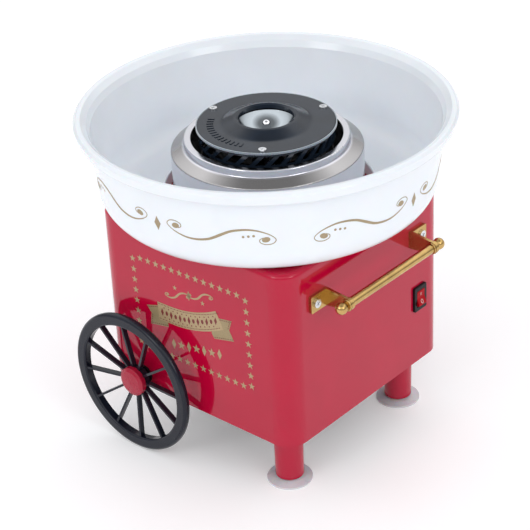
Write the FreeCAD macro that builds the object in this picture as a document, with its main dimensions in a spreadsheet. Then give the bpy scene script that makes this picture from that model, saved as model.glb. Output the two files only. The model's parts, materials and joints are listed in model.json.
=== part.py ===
"""Tabletop cotton candy machine: a red cart-shaped base with two spoked wheels, a heated
spinning head inside a metal guard, and a lift-off catch bowl.

Frame: millimetres, +Z up. The origin is on the ground below the head's axis. The front, with
the push handle and the switch, faces -Y, and the wheels are on the +X and -X sides.
"""
import FreeCAD, Part
import math
import os
import Sketcher

DRIVING_SIZES = {
    # casing
    "shell_width": 184, "shell_bottom": 47, "shell_top": 190, "shell_wall": 3,
    "shell_corner": 17, "shell_edge": 4, "shell_opening": 57,
    "boss_offset": 81, "boss_radius": 4, "boss_pilot": 1.4,
    "floor_plate": 2.5, "floor_gap": 0.3,
    # legs and suction feet
    "leg_offset": 67, "leg_top_radius": 11.3, "leg_end_radius": 10.8, "leg_bottom": 4,
    "foot_radius": 17.2, "foot_edge": 1.3, "foot_stem": 5,
    # catch bowl
    "bowl_rim_radius": 140, "bowl_top": 262.3, "bowl_floor": 190.2, "bowl_wall": 2.4,
    "bowl_hole": 77.5, "bowl_collar": 200, "bowl_waist": 125,
    # metal guard round the head
    "guard_radius": 71, "guard_shoulder": 230.4, "guard_top": 240, "guard_sheet": 1,
    "guard_neck": 61.4, "guard_mouth": 55.8, "guard_flange": 41,
    # spinning head
    "head_radius": 51.7, "head_top": 249.2, "cover_thick": 1, "dish_sheet": 0.6,
    "funnel_mouth": 20.5, "funnel_lip": 254.2, "cone_foot": 34, "louvre_radius": 50,
    "louvre_bottom": 236.5, "louvre_count": 28, "screw_circle": 47,
    # motor and drive
    "shaft_radius": 3, "thread_radius": 2.5, "motor_radius": 30, "motor_bottom": 107,
    "motor_top": 166, "plate_level": 171, "plate_radius": 72, "plate_thick": 2,
    "standoff_circle": 64, "mount_circle": 20, "running_gap": 0.05,
    # heater
    "heater_circle": 36, "heater_tube": 3, "heater_level": 229, "reflector_level": 218,
    # wheels
    "wheel_radius": 57.5, "wheel_rim": 9.5, "wheel_thick": 6.4, "wheel_middle": 105.9,
    "wheel_setback": 54, "axle_radius": 4, "spoke_count": 12, "spoke_width": 1.8,
    "spoke_depth": 4.1, "spoke_drop": 4.8, "hub_radius": 11.4, "cap_radius": 11.6,
    # handle
    "handle_level": 159, "handle_reach": 21, "bar_radius": 3.6, "arm_inner": 48.8,
    "arm_thick": 2.4, "bracket_height": 13.5, "bracket_width": 18.7, "ball_radius": 4.5,
    # rocker switch
    "switch_across": 61.3, "switch_level": 104, "bezel_width": 15, "bezel_height": 21,
    "bezel_thick": 2, "rocker_width": 9, "rocker_height": 13.9, "rocker_depth": 2.6,
}

doc = FreeCAD.newDocument("CottonCandyMachine")
sheet = doc.addObject("Spreadsheet::Sheet", "Sizes")
for row, (alias, number) in enumerate(DRIVING_SIZES.items(), start=1):
    sheet.set("A%d" % row, alias)
    sheet.set("B%d" % row, str(number))
    sheet.setAlias("B%d" % row, alias)
doc.recompute()


class Size:
    """A length with its value and the sheet formula that keeps it up to date."""

    def __init__(self, value, formula):
        self.value = float(value)
        self.formula = formula

    def _join(self, other, sign, value, flip=False):
        other = other if isinstance(other, Size) else Size(other, repr(other))
        first, second = (other, self) if flip else (self, other)
        return Size(value, "(%s %s %s)" % (first.formula, sign, second.formula))

    def __add__(self, other):
        return self._join(other, "+", self.value + float(other))

    def __sub__(self, other):
        return self._join(other, "-", self.value - float(other))

    def __rsub__(self, other):
        return self._join(other, "-", float(other) - self.value, flip=True)

    def __mul__(self, other):
        return self._join(other, "*", self.value * float(other))

    def __truediv__(self, other):
        return self._join(other, "/", self.value / float(other))

    def __neg__(self):
        return Size(-self.value, "(-%s)" % self.formula)

    def __float__(self):
        return self.value

    __radd__ = __add__
    __rmul__ = __mul__


def size(alias):
    return Size(DRIVING_SIZES[alias], "Sizes." + alias)


def as_size(number):
    return number if isinstance(number, Size) else Size(number, repr(float(number)))


def bind(thing, prop, number):
    """Give a property its value, and its formula when the number comes from the sheet."""
    number = as_size(number)
    if "Sizes." in number.formula or "." in prop:
        thing.setExpression(prop, number.formula)
    else:
        setattr(thing, prop, number.value)


# ---------------------------------------------------------------- part design helpers

PLANES = {"XY": "XY_Plane", "XZ": "XZ_Plane", "YZ": "YZ_Plane"}
finished = []


def new_body(label):
    body = doc.addObject("PartDesign::Body", label)
    body.Label = label
    finished.append(body)
    return body


def sketch_on(body, plane, offset=0):
    sketch = body.newObject("Sketcher::SketchObject", "Sketch")
    role = PLANES[plane]
    face = [feature for feature in body.Origin.OriginFeatures if feature.Role == role][0]
    sketch.AttachmentSupport = [(face, "")]
    sketch.MapMode = "FlatFace"
    bind(sketch, "AttachmentOffset.Base.z", offset)
    return sketch


def constrain(sketch, kind, *refs_and_size):
    *refs, number = refs_and_size
    number = as_size(number)
    index = sketch.addConstraint(Sketcher.Constraint(kind, *refs, number.value))
    if "Sizes." in number.formula:
        sketch.setExpression("Constraints[%d]" % index, number.formula)


def pin_point(sketch, geo, end, across, up):
    """Fix a sketch point by its two distances from the sketch's origin."""
    for kind, number in (("DistanceX", across), ("DistanceY", up)):
        number = as_size(number)
        if abs(number.value) < 1e-9:
            axis = -2 if kind == "DistanceX" else -1
            sketch.addConstraint(Sketcher.Constraint("PointOnObject", geo, end, axis))
        elif number.value > 0:
            constrain(sketch, kind, -1, 1, geo, end, number)
        else:
            constrain(sketch, kind, geo, end, -1, 1, -number)


def outline(sketch, points):
    """Closed polygon whose corners are each tied to the sizes."""
    corners = [FreeCAD.Vector(float(a), float(b), 0) for a, b in points]
    count = len(corners)
    first = sketch.GeometryCount
    for index in range(count):
        sketch.addGeometry(Part.LineSegment(corners[index], corners[(index + 1) % count]))
    for index in range(count):
        following = first + (index + 1) % count
        sketch.addConstraint(Sketcher.Constraint("Coincident", first + index, 2, following, 1))
    for index, (across, up) in enumerate(points):
        pin_point(sketch, first + index, 1, across, up)


def circle(sketch, across, up, radius):
    centre = FreeCAD.Vector(float(across), float(up), 0)
    geo = sketch.addGeometry(Part.Circle(centre, FreeCAD.Vector(0, 0, 1), float(radius)))
    constrain(sketch, "Radius", geo, radius)
    pin_point(sketch, geo, 3, across, up)


def pad(body, sketch, length, reverse=False, both=False):
    feature = body.newObject("PartDesign::Pad", "Pad")
    feature.Profile = sketch
    bind(feature, "Length", length)
    feature.Reversed = reverse
    feature.Midplane = both
    body.Tip = feature
    doc.recompute()
    return feature


def pocket(body, sketch, length, reverse=False, both=False):
    """Cut a pocket and make sure that it removes material."""
    before = body.Shape.Volume
    feature = body.newObject("PartDesign::Pocket", "Pocket")
    feature.Profile = sketch
    bind(feature, "Length", length)
    feature.Reversed = reverse
    feature.Midplane = both
    body.Tip = feature
    doc.recompute()
    if body.Shape.Volume > before - 1e-3:
        raise RuntimeError("pocket in %s cuts nothing" % body.Label)
    return feature


def revolve(body, points, plane="XZ", axis="V_Axis"):
    """Turn an outline (radius, height) about the body's Z axis, or another sketch axis."""
    sketch = sketch_on(body, plane)
    outline(sketch, points)
    feature = body.newObject("PartDesign::Revolution", "Revolution")
    feature.Profile = sketch
    feature.ReferenceAxis = (sketch, [axis])
    feature.Angle = 360
    body.Tip = feature
    doc.recompute()
    return feature


def around(body, feature, count):
    """Repeat a feature about the body's Z axis."""
    pattern = body.newObject("PartDesign::PolarPattern", "PolarPattern")
    pattern.Originals = [feature]
    axis = [item for item in body.Origin.OriginFeatures if item.Role == "Z_Axis"][0]
    pattern.Axis = (axis, [""])
    pattern.Angle = 360
    pattern.Occurrences = int(float(count))
    if isinstance(count, Size):
        pattern.setExpression("Occurrences", count.formula)
    body.Tip = pattern
    doc.recompute()
    return pattern


def round_edges(body, names, radius):
    base = body.Tip
    fillet = body.newObject("PartDesign::Fillet", "Fillet")
    fillet.Base = (base, names)
    bind(fillet, "Radius", radius)
    body.Tip = fillet
    doc.recompute()
    if fillet.Shape.isNull() or not fillet.Shape.isValid():
        raise RuntimeError("fillet in %s failed" % body.Label)
    return fillet


def ring_edges(body, rings):
    """Names of the circular edges about the body's Z axis at each (radius, height)."""
    names = []
    for radius, height in rings:
        for index, edge in enumerate(body.Tip.Shape.Edges, start=1):
            curve = edge.Curve
            if not isinstance(curve, Part.Circle):
                continue
            near = abs(curve.Radius - float(radius)) < 0.02
            if near and abs(curve.Center.z - float(height)) < 0.02:
                names.append("Edge%d" % index)
    if len(names) < len(rings):
        raise RuntimeError("a ring edge is missing in %s" % body.Label)
    return names


def straight_edges(body, test):
    """Names of the straight edges whose two end points pass a test."""
    names = []
    for index, edge in enumerate(body.Tip.Shape.Edges, start=1):
        ends = [vertex.Point for vertex in edge.Vertexes]
        if isinstance(edge.Curve, Part.Line) and len(ends) == 2 and test(*ends):
            names.append("Edge%d" % index)
    return names


def place(thing, across=0, along=0, up=0, axis=(0, 0, 1), angle=0):
    """Set a piece's turn, then bind its position to the sheet."""
    spot = FreeCAD.Vector(float(across), float(along), float(up))
    thing.Placement = FreeCAD.Placement(spot, FreeCAD.Rotation(FreeCAD.Vector(*axis), angle))
    for letter, number in (("x", across), ("y", along), ("z", up)):
        if "Sizes." in as_size(number).formula:
            thing.setExpression("Placement.Base." + letter, as_size(number).formula)
    doc.recompute()


# ---------------------------------------------------------------- primitive helpers

def cylinder(name, radius, height, spot=(0, 0, 0), axis=(0, 0, 1)):
    item = doc.addObject("Part::Cylinder", name)
    bind(item, "Radius", radius)
    bind(item, "Height", height)
    turn = FreeCAD.Rotation(FreeCAD.Vector(0, 0, 1), FreeCAD.Vector(*axis))
    item.Placement = FreeCAD.Placement(FreeCAD.Vector(*[float(n) for n in spot]), turn)
    for letter, number in zip("xyz", spot):
        if "Sizes." in as_size(number).formula:
            item.setExpression("Placement.Base." + letter, as_size(number).formula)
    return item


def block(name, lengths, corner):
    item = doc.addObject("Part::Box", name)
    for prop, number in zip(("Length", "Width", "Height"), lengths):
        bind(item, prop, number)
    item.Placement.Base = FreeCAD.Vector(*[float(n) for n in corner])
    for letter, number in zip("xyz", corner):
        if "Sizes." in as_size(number).formula:
            item.setExpression("Placement.Base." + letter, as_size(number).formula)
    return item


def cut(name, base, *tools):
    for tool in tools:
        item = doc.addObject("Part::Cut", name)
        item.Base = base
        item.Tool = tool
        base = item
    return base


def fuse(name, *shapes):
    item = doc.addObject("Part::MultiFuse", name)
    item.Shapes = list(shapes)
    return item


def group(name, items):
    item = doc.addObject("Part::Compound", name)
    item.Links = list(items)
    return item


def finish(label, item):
    """Name a finished piece made of primitives, so that it is written out."""
    item.Label = label
    doc.recompute()
    finished.append(item)
    return item


def tube(label, outer, inner, length, spot=(0, 0, 0), axis=(0, 0, 1)):
    solid = cylinder(label + "_out", outer, length, spot, axis)
    bore = cylinder(label + "_bore", inner, length, spot, axis)
    return cut(label + "_ring", solid, bore)


def cross_screw(name, head, head_height, shank, length, spot, axis):
    """Round-headed screw with a cross recess. spot is under the head, axis leaves it."""
    back = [-part for part in axis]
    direction = FreeCAD.Vector(*axis)
    head_piece = cylinder(name + "_head", head, head_height, spot, axis)
    shank_piece = cylinder(name + "_shank", shank, length, spot, back)
    whole = fuse(name + "_whole", head_piece, shank_piece)
    recess = head_height * 0.55
    side = head * 1.1
    width = head * 0.24
    top = FreeCAD.Vector(*[float(n) for n in spot]) + direction * (head_height - recess)
    for turn in (0, 90):
        slot = block(name + "_slot", (side, width, head_height), (0, 0, 0))
        lay = FreeCAD.Rotation(FreeCAD.Vector(0, 0, 1), direction)
        spin = FreeCAD.Rotation(FreeCAD.Vector(0, 0, 1), turn + 20)
        centre = FreeCAD.Vector(-side / 2, -width / 2, 0)
        rotation = lay.multiply(spin)
        slot.Placement = FreeCAD.Placement(top + rotation.multVec(centre), rotation)
        whole = cut(name + "_cross", whole, slot)
    return whole


def ring_spots(circle_radius, height, count, start):
    """Points evenly spaced on a circle about the Z axis."""
    angles = [math.radians(start + 360 * index / count) for index in range(count)]
    radius = float(circle_radius)
    return [(radius * math.cos(a), radius * math.sin(a), height) for a in angles]


# ---------------------------------------------------------------- casing

GUARD_SCREW_START = 30
STANDOFF_COUNT = 3
HALF_WIDTH = size("shell_width") / 2


def rounded_block(body, half, corner, bottom, height):
    """Square prism with rounded vertical corners."""
    sketch = sketch_on(body, "XY", bottom)
    outline(sketch, [(-half, -half), (half, -half), (half, half), (-half, half)])
    pad(body, sketch, height)

    def upright(one, two):
        return abs(one.x - two.x) < 1e-6 and abs(one.y - two.y) < 1e-6

    round_edges(body, straight_edges(body, upright), corner)


def build_shell():
    """One moulding, open below, with a round opening for the head in its roof."""
    body = new_body("body_shell")
    wall = size("shell_wall")
    bottom = size("shell_bottom")
    top = size("shell_top")
    rounded_block(body, HALF_WIDTH, size("shell_corner"), bottom, top - bottom)
    level = float(top)
    rim = [
        "Edge%d" % index for index, edge in enumerate(body.Tip.Shape.Edges, start=1)
        if all(abs(vertex.Z - level) < 1e-6 for vertex in edge.Vertexes)
    ]
    round_edges(body, rim, size("shell_edge"))
    # the hollow is a rounded square too: two crossing strips and four corner circles
    inner = HALF_WIDTH - wall
    corner = size("shell_corner") - wall
    hollow = top - wall - bottom
    for long_half, short_half in ((inner, inner - corner), (inner - corner, inner)):
        sketch = sketch_on(body, "XY", bottom)
        outline(sketch, [(-long_half, -short_half), (long_half, -short_half),
                         (long_half, short_half), (-long_half, short_half)])
        pocket(body, sketch, hollow, reverse=True)
    sketch = sketch_on(body, "XY", bottom)
    for sx, sy in ((-1, -1), (1, -1), (1, 1), (-1, 1)):
        circle(sketch, (inner - corner) * sx, (inner - corner) * sy, corner)
    pocket(body, sketch, hollow, reverse=True)
    sketch = sketch_on(body, "XY", top)
    circle(sketch, 0, 0, size("shell_opening"))
    for x, y, _ in ring_spots(size("standoff_circle"), 0, STANDOFF_COUNT, GUARD_SCREW_START):
        circle(sketch, x, y, 2.1)
    pocket(body, sketch, wall * 2)
    # four screw bosses for the floor plate
    offset = size("boss_offset")
    corners = ((-1, -1), (1, -1), (1, 1), (-1, 1))
    boss_level = bottom + size("floor_plate") + 0.5
    sketch = sketch_on(body, "XY", boss_level)
    for sx, sy in corners:
        circle(sketch, offset * sx, offset * sy, size("boss_radius"))
    pad(body, sketch, top - wall * 0.5 - boss_level)
    sketch = sketch_on(body, "XY", boss_level)
    for sx, sy in corners:
        circle(sketch, offset * sx, offset * sy, size("boss_pilot"))
    pocket(body, sketch, 14, reverse=True)
    # axle bush holes through both side walls
    sketch = sketch_on(body, "YZ")
    circle(sketch, size("wheel_setback"), size("wheel_radius"), 6.05)
    pocket(body, sketch, size("shell_width") * 1.1, both=True)
    # handle screws and switch cut-out in the front wall, cord gland in the rear wall
    sketch = sketch_on(body, "XZ", HALF_WIDTH - wall * 2)
    for side in (-1, 1):
        circle(sketch, bracket_screw_across() * side, size("handle_level"), 1.8)
    half_w = size("bezel_width") / 2 - 1.2
    half_h = size("bezel_height") / 2 - 1.2
    across = size("switch_across")
    level = size("switch_level")
    outline(sketch, [(across - half_w, level - half_h), (across + half_w, level - half_h),
                     (across + half_w, level + half_h), (across - half_w, level + half_h)])
    pocket(body, sketch, wall * 3, reverse=True)
    sketch = sketch_on(body, "XZ", -(HALF_WIDTH - wall * 2))
    circle(sketch, GLAND_ACROSS, GLAND_LEVEL, GLAND_NECK + 0.05)
    pocket(body, sketch, wall * 3)
    return body


def bracket_screw_across():
    return size("arm_inner") + size("arm_thick") + 10.6


GLAND_ACROSS = 58
GLAND_LEVEL = 66
GLAND_NECK = 6


def build_floor():
    """Floor plate with ventilation slots, holding the two legs."""
    body = new_body("floor_plate")
    inner = HALF_WIDTH - size("shell_wall") - size("floor_gap")
    corner = size("shell_corner") - size("shell_wall") - size("floor_gap")
    bottom = size("shell_bottom") + 0.4
    rounded_block(body, inner, corner, bottom, size("floor_plate"))
    sketch = sketch_on(body, "XY", bottom)
    for sx, sy in ((-1, -1), (1, -1), (1, 1), (-1, 1)):
        circle(sketch, size("boss_offset") * sx, size("boss_offset") * sy, 1.8)
    for side in (-1, 1):
        circle(sketch, size("leg_offset") * side, -size("leg_offset"), 2.1)
    pocket(body, sketch, 10, reverse=True)
    slots = sketch_on(body, "XY", bottom)
    slot_half = 34
    slot_rows = 9
    for row in range(slot_rows):
        y = (row - (slot_rows - 1) / 2) * 9
        outline(slots, [(-slot_half, y - 2), (slot_half, y - 2),
                        (slot_half, y + 2), (-slot_half, y + 2)])
    pocket(body, slots, 10, reverse=True)
    return body


def build_legs():
    """Two tapered front legs, each on a clear suction foot."""
    top = size("shell_bottom") + 0.4
    offset = size("leg_offset")
    low = size("leg_bottom")
    stem = size("foot_stem")
    for side, name in ((-1, "left"), (1, "right")):
        leg = new_body("leg_" + name)
        revolve(leg, [(2, low + 9), (stem + 0.1, low + 9), (stem + 0.1, low),
                      (size("leg_end_radius"), low), (size("leg_top_radius"), top), (2, top)])
        round_edges(leg, ring_edges(leg, [(size("leg_end_radius"), low)]), 0.8)
        place(leg, offset * side, -offset)
        foot = new_body("suction_foot_" + name)
        edge = size("foot_edge")
        reach = size("foot_radius")
        revolve(foot, [(0, 1.6), (5, 1.4), (reach - 3.2, 0), (reach, 0), (reach, edge),
                       (reach - 4.5, edge + 1.5), (stem + 1, low - 0.1), (stem, low - 0.1),
                       (stem, low + 8), (0, low + 8)])
        round_edges(foot, ring_edges(foot, [(reach, edge)]), 0.5)
        place(foot, offset * side, -offset)


def build_casing_screws():
    bottom = size("shell_bottom") + 0.4
    corners = ((-1, -1), (1, -1), (1, 1), (-1, 1))
    offset = size("boss_offset")
    screws = [
        cross_screw("floor_screw", 3.2, 2.0, 1.35, 12, (offset * sx, offset * sy, bottom),
                    (0, 0, -1))
        for sx, sy in corners
    ]
    finish("floor_screws", group("floor_screw_set", screws))
    legs = size("leg_offset")
    screws = [
        cross_screw("leg_screw", 4, 2.4, 1.95, 16,
                    (legs * side, -legs, bottom + size("floor_plate")), (0, 0, 1))
        for side in (-1, 1)
    ]
    finish("leg_screws", group("leg_screw_set", screws))


def build_gland():
    """Rubber grommet where a supply cord would leave the rear wall."""
    body = new_body("cord_grommet")
    wall = size("shell_wall")
    revolve(body, [(3.6, 0), (9, 0), (9, 2), (GLAND_NECK, 2), (GLAND_NECK, wall + 2.1),
                   (8.5, wall + 2.1), (8.5, wall + 3.5), (6.5, wall + 6), (5.2, wall + 6),
                   (3.6, wall + 6)])
    round_edges(body, ring_edges(body, [(6.5, wall + 6)]), 0.8)
    place(body, GLAND_ACROSS, HALF_WIDTH - wall - 2.05, GLAND_LEVEL, (1, 0, 0), -90)
    return body


def build_terminal_block():
    """Three-way block on the floor plate where the leads meet."""
    level = size("shell_bottom") + 0.4 + size("floor_plate")
    base = block("terminal_base", (30, 14, 5), (20, 64, level))
    ways = [block("terminal_way", (7, 10, 7), (22.5 + 9 * index, 66, level + 5))
            for index in range(3)]
    whole = fuse("terminal_whole", base, *ways)
    holes = [cylinder("terminal_hole", 1.6, 5, (26 + 9 * index, 71, level + 8))
             for index in range(3)]
    finish("terminal_block", cut("terminal_cut", whole, *holes))


# ---------------------------------------------------------------- handle

def build_handle():
    """Brass push bar between two angle brackets, with turned ball ends."""
    level = size("handle_level")
    reach = size("handle_reach")
    face = -HALF_WIDTH
    arm = size("arm_inner")
    thick = size("arm_thick")
    height = size("bracket_height")
    nose = size("bar_radius") + 1.2
    half = height / 2
    for side, name in ((-1, "left"), (1, "right")):
        bracket = new_body("handle_bracket_" + name)
        inner_x = arm * side
        outer_x = (arm + size("bracket_width")) * side
        sketch = sketch_on(bracket, "XZ", -face)
        outline(sketch, [(inner_x, level - half), (outer_x, level - half),
                         (outer_x, level + half), (inner_x, level + half)])
        pad(bracket, sketch, thick)

        def outer_corner(one, two):
            level_ok = abs(one.z - two.z) < 1e-6 and abs(one.x - two.x) < 1e-6
            return level_ok and abs(one.x - float(outer_x)) < 1e-6

        round_edges(bracket, straight_edges(bracket, outer_corner), 1.2)
        sketch = sketch_on(bracket, "YZ", inner_x)
        outline(sketch, [(face, level - half), (face, level + half),
                         (face - 4, level + half), (face - reach, level + nose),
                         (face - reach, level - nose), (face - 4, level - half)])
        pad(bracket, sketch, thick, reverse=side < 0)
        sketch = sketch_on(bracket, "YZ", inner_x)
        circle(sketch, face - reach, level, nose)
        pad(bracket, sketch, thick, reverse=side < 0)
        sketch = sketch_on(bracket, "YZ", inner_x)
        circle(sketch, face - reach, level, size("bar_radius") + 0.05)
        pocket(bracket, sketch, thick * 2.5, both=True)
        sketch = sketch_on(bracket, "XZ", -face)
        circle(sketch, bracket_screw_across() * side, level, 1.8)
        pocket(bracket, sketch, thick * 2.5, both=True)

    bar = new_body("handle_bar")
    radius = size("bar_radius")
    shoulder = arm - 0.1
    collar = radius + 1
    tip = arm + thick + 0.8
    revolve(bar, [(0, -tip), (radius, -tip), (radius, -shoulder), (collar, -shoulder),
                  (collar, 1.4 - shoulder), (radius, 1.4 - shoulder), (radius, shoulder - 1.4),
                  (collar, shoulder - 1.4), (collar, shoulder), (radius, shoulder),
                  (radius, tip), (0, tip)])
    round_edges(bar, ring_edges(bar, [(collar, -shoulder), (collar, 1.4 - shoulder),
                                      (collar, shoulder - 1.4), (collar, shoulder)]), 0.45)
    place(bar, 0, face - reach, level, (0, 1, 0), 90)

    ball = size("ball_radius")
    for side, name in ((-1, "left"), (1, "right")):
        finial = new_body("handle_finial_" + name)
        start = 0.1
        neck = 3.0
        centre = start + 1.3 + 0.9 + ball * 0.86
        revolve(finial, [(radius + 0.05, start), (collar, start), (collar, start + 1.3),
                         (neck, start + 1.3), (neck, start + 2.2), (0, start + 2.2),
                         (0, start + 0.9), (radius + 0.05, start + 0.9)])
        round_edges(finial, ring_edges(finial, [(collar, start + 1.3)]), 0.45)
        sketch = sketch_on(finial, "XZ")
        low = FreeCAD.Vector(0, float(centre - ball), 0)
        high = FreeCAD.Vector(0, float(centre + ball), 0)
        out = FreeCAD.Vector(float(ball), float(centre), 0)
        arc = sketch.addGeometry(Part.Arc(low, out, high))
        line = sketch.addGeometry(Part.LineSegment(high, low))
        sketch.addConstraint(Sketcher.Constraint("Coincident", arc, 2, line, 1))
        sketch.addConstraint(Sketcher.Constraint("Coincident", arc, 1, line, 2))
        constrain(sketch, "Radius", arc, ball)
        pin_point(sketch, arc, 3, 0, centre)
        sketch.addConstraint(Sketcher.Constraint("PointOnObject", line, 1, -2))
        sketch.addConstraint(Sketcher.Constraint("PointOnObject", line, 2, -2))
        turned = finial.newObject("PartDesign::Revolution", "Ball")
        turned.Profile = sketch
        turned.ReferenceAxis = (sketch, ["V_Axis"])
        turned.Angle = 360
        finial.Tip = turned
        doc.recompute()
        place(finial, (arm + thick) * side, face - reach, level, (0, 1, 0), 90 * side)

    screws = [
        cross_screw("bracket_screw", 3.3, 1.5, 1.7, 8,
                    (bracket_screw_across() * side, face - thick, level), (0, -1, 0))
        for side in (-1, 1)
    ]
    finish("bracket_screws", group("bracket_screw_set", screws))


# ---------------------------------------------------------------- switch

def build_switch():
    """Rocker switch: a black housing clipped in the front wall and a red rocker."""
    across = size("switch_across")
    level = size("switch_level")
    front = -HALF_WIDTH
    width = size("bezel_width")
    height = size("bezel_height")
    thick = size("bezel_thick")
    housing = new_body("switch_housing")
    sketch = sketch_on(housing, "XY")
    outline(sketch, [(-(width / 2), -(height / 2)), (width / 2, -(height / 2)),
                     (width / 2, height / 2), (-(width / 2), height / 2)])
    pad(housing, sketch, thick)

    def upright(one, two):
        return abs(one.x - two.x) < 1e-6 and abs(one.y - two.y) < 1e-6

    def on_front(one, two):
        return min(one.z, two.z) > float(thick) - 1e-6

    round_edges(housing, straight_edges(housing, upright), 1.2)
    round_edges(housing, straight_edges(housing, on_front), 0.5)
    half_box = width / 2 - 1.3
    tall_box = height / 2 - 1.3
    sketch = sketch_on(housing, "XY")
    outline(sketch, [(-half_box, -tall_box), (half_box, -tall_box),
                     (half_box, tall_box), (-half_box, tall_box)])
    pad(housing, sketch, 12, reverse=True)
    opening = size("rocker_width") / 2 + 0.15
    tall = size("rocker_height") / 2
    sketch = sketch_on(housing, "XY", thick)
    outline(sketch, [(-opening, -tall), (opening, -tall), (opening, tall), (-opening, tall)])
    pocket(housing, sketch, 9)
    pivot = thick - size("rocker_depth")
    sketch = sketch_on(housing, "YZ")
    circle(sketch, 0, pivot, 1.05)
    pocket(housing, sketch, opening * 2 + 1.6, both=True)
    place(housing, across, front, level, (1, 0, 0), 90)
    terminals = [block("switch_tab", (0.8, 9, 4.8), (across - 0.4, front + 12, level + lift))
                 for lift in (-7, -2.4, 2.2)]
    finish("switch_tabs", group("switch_tab_set", terminals))

    rocker = new_body("switch_rocker")
    half = size("rocker_width") / 2
    reach = 6.1
    sketch = sketch_on(rocker, "YZ")
    outline(sketch, [(-reach, 1.6), (-1.4, -1.7), (1.4, -1.7), (reach, 1.6), (reach, 3.9),
                     (0, 2.7), (-reach, 3.9)])
    pad(rocker, sketch, half * 2, both=True)

    def tip_edge(one, two):
        level_ok = abs(one.z - 3.9) < 1e-6 and abs(two.z - 3.9) < 1e-6
        return level_ok and abs(one.y - two.y) < 1e-6

    round_edges(rocker, straight_edges(rocker, tip_edge), 0.5)
    sketch = sketch_on(rocker, "YZ")
    circle(sketch, 0, 0, 1)
    pad(rocker, sketch, half * 2 + 1.3, both=True)
    tilt = 90 - ROCKER_TILT
    place(rocker, across, front - pivot, level, (1, 0, 0), tilt)


ROCKER_TILT = 10


# ---------------------------------------------------------------- wheels

SPOKE_START = 24
HUB_FACE = -3.0
HUB_DEPTH = 4.4


def build_wheels():
    """Two twelve-spoke wheels on one steel axle, dished so that the hub sits behind the
    rim's middle, each with a domed hub cap."""
    half = size("wheel_thick") / 2
    outer = size("wheel_radius")
    inner = outer - size("wheel_rim")
    hub = size("hub_radius")
    bore = size("axle_radius") + size("running_gap")
    back = -(size("wheel_middle") - HALF_WIDTH - 2.2)
    for side, name in ((-1, "left"), (1, "right")):
        wheel = new_body("wheel_" + name)
        revolve(wheel, [(inner, -half), (outer, -half), (outer, half), (inner, half)])
        round_edges(wheel, ring_edges(wheel, [(outer, -half), (outer, half)]), 2.7)
        round_edges(wheel, ring_edges(wheel, [(inner, half)]), 1.6)
        sketch = sketch_on(wheel, "XZ")
        depth = size("spoke_depth") / 2
        root = size("spoke_drop")
        outline(sketch, [(hub - 2.5, -root - depth), (inner + 1.5, -depth),
                         (inner + 1.5, depth), (hub - 2.5, depth - root)])
        spoke = pad(wheel, sketch, size("spoke_width"), both=True)
        around(wheel, spoke, size("spoke_count"))
        sketch = sketch_on(wheel, "XY", HUB_FACE)
        circle(sketch, 0, 0, size("cap_radius") + 0.15)
        pocket(wheel, sketch, 4, reverse=True)
        sketch = sketch_on(wheel, "XY", back)
        circle(sketch, 0, 0, size("axle_radius") + 2.8)
        pad(wheel, sketch, -back - 6)
        sketch = sketch_on(wheel, "XY", HUB_FACE)
        circle(sketch, 0, 0, hub)
        pad(wheel, sketch, HUB_DEPTH, reverse=True)
        sketch = sketch_on(wheel, "XY", back)
        circle(sketch, 0, 0, bore)
        pocket(wheel, sketch, 20, reverse=True)
        sketch = sketch_on(wheel, "XY", HUB_FACE)
        circle(sketch, 0, 0, 8.2)
        pocket(wheel, sketch, 2.6)
        turn = FreeCAD.Rotation(FreeCAD.Vector(0, 1, 0), 90 * side)
        spin = SPOKE_START + 90 if side > 0 else SPOKE_START
        turn = FreeCAD.Rotation(FreeCAD.Vector(1, 0, 0), spin).multiply(turn)
        spot = FreeCAD.Vector(float(size("wheel_middle")) * side, float(size("wheel_setback")),
                              float(outer))
        cap = new_body("hub_cap_" + name)
        cap_edge = size("cap_radius")
        base = HUB_FACE + 0.05
        skirt = HUB_FACE - 1.05
        revolve(cap, [(0, 0.2), (7, 0.2), (7, skirt), (8.1, skirt), (8.1, -0.6),
                      (cap_edge - 1.5, -0.6), (cap_edge - 1.5, base), (cap_edge, base),
                      (cap_edge, 0.9), (cap_edge - 2.7, 2.3), (0, 3.0)])
        round_edges(cap, ring_edges(cap, [(cap_edge, 0.9)]), 0.7)
        round_edges(cap, ring_edges(cap, [(cap_edge - 2.7, 2.3)]), 1.0)
        for piece in (wheel, cap):
            piece.Placement = FreeCAD.Placement(spot, turn)
            piece.setExpression("Placement.Base.x",
                                (size("wheel_middle") * side).formula)
            piece.setExpression("Placement.Base.y", size("wheel_setback").formula)
            piece.setExpression("Placement.Base.z", outer.formula)
        # flanged nylon bush in the wall and a push-on clip at the axle's end
        bush = new_body("axle_bush_" + name)
        wall = size("shell_wall")
        revolve(bush, [(size("axle_radius"), -wall - 3), (6, -wall - 3), (6, 0.05), (7.6, 0.05),
                       (7.6, 1.6), (size("axle_radius"), 1.6)])
        place(bush, HALF_WIDTH * side, size("wheel_setback"), outer, (0, 1, 0), 90 * side)
        clip = new_body("axle_clip_" + name)
        revolve(clip, [(size("axle_radius"), 0), (7.4, 0), (7.4, 0.9), (size("axle_radius"), 0.9)])
        place(clip, (size("wheel_middle") - 5.55) * side, size("wheel_setback"), outer,
              (0, 1, 0), 90 * side)
    length = size("wheel_middle") * 2 - 8.8
    finish("wheel_axle", cylinder("axle_rod", size("axle_radius"), length,
                                  (-(length / 2), size("wheel_setback"), outer), (1, 0, 0)))


# ---------------------------------------------------------------- bowl and guard

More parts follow.
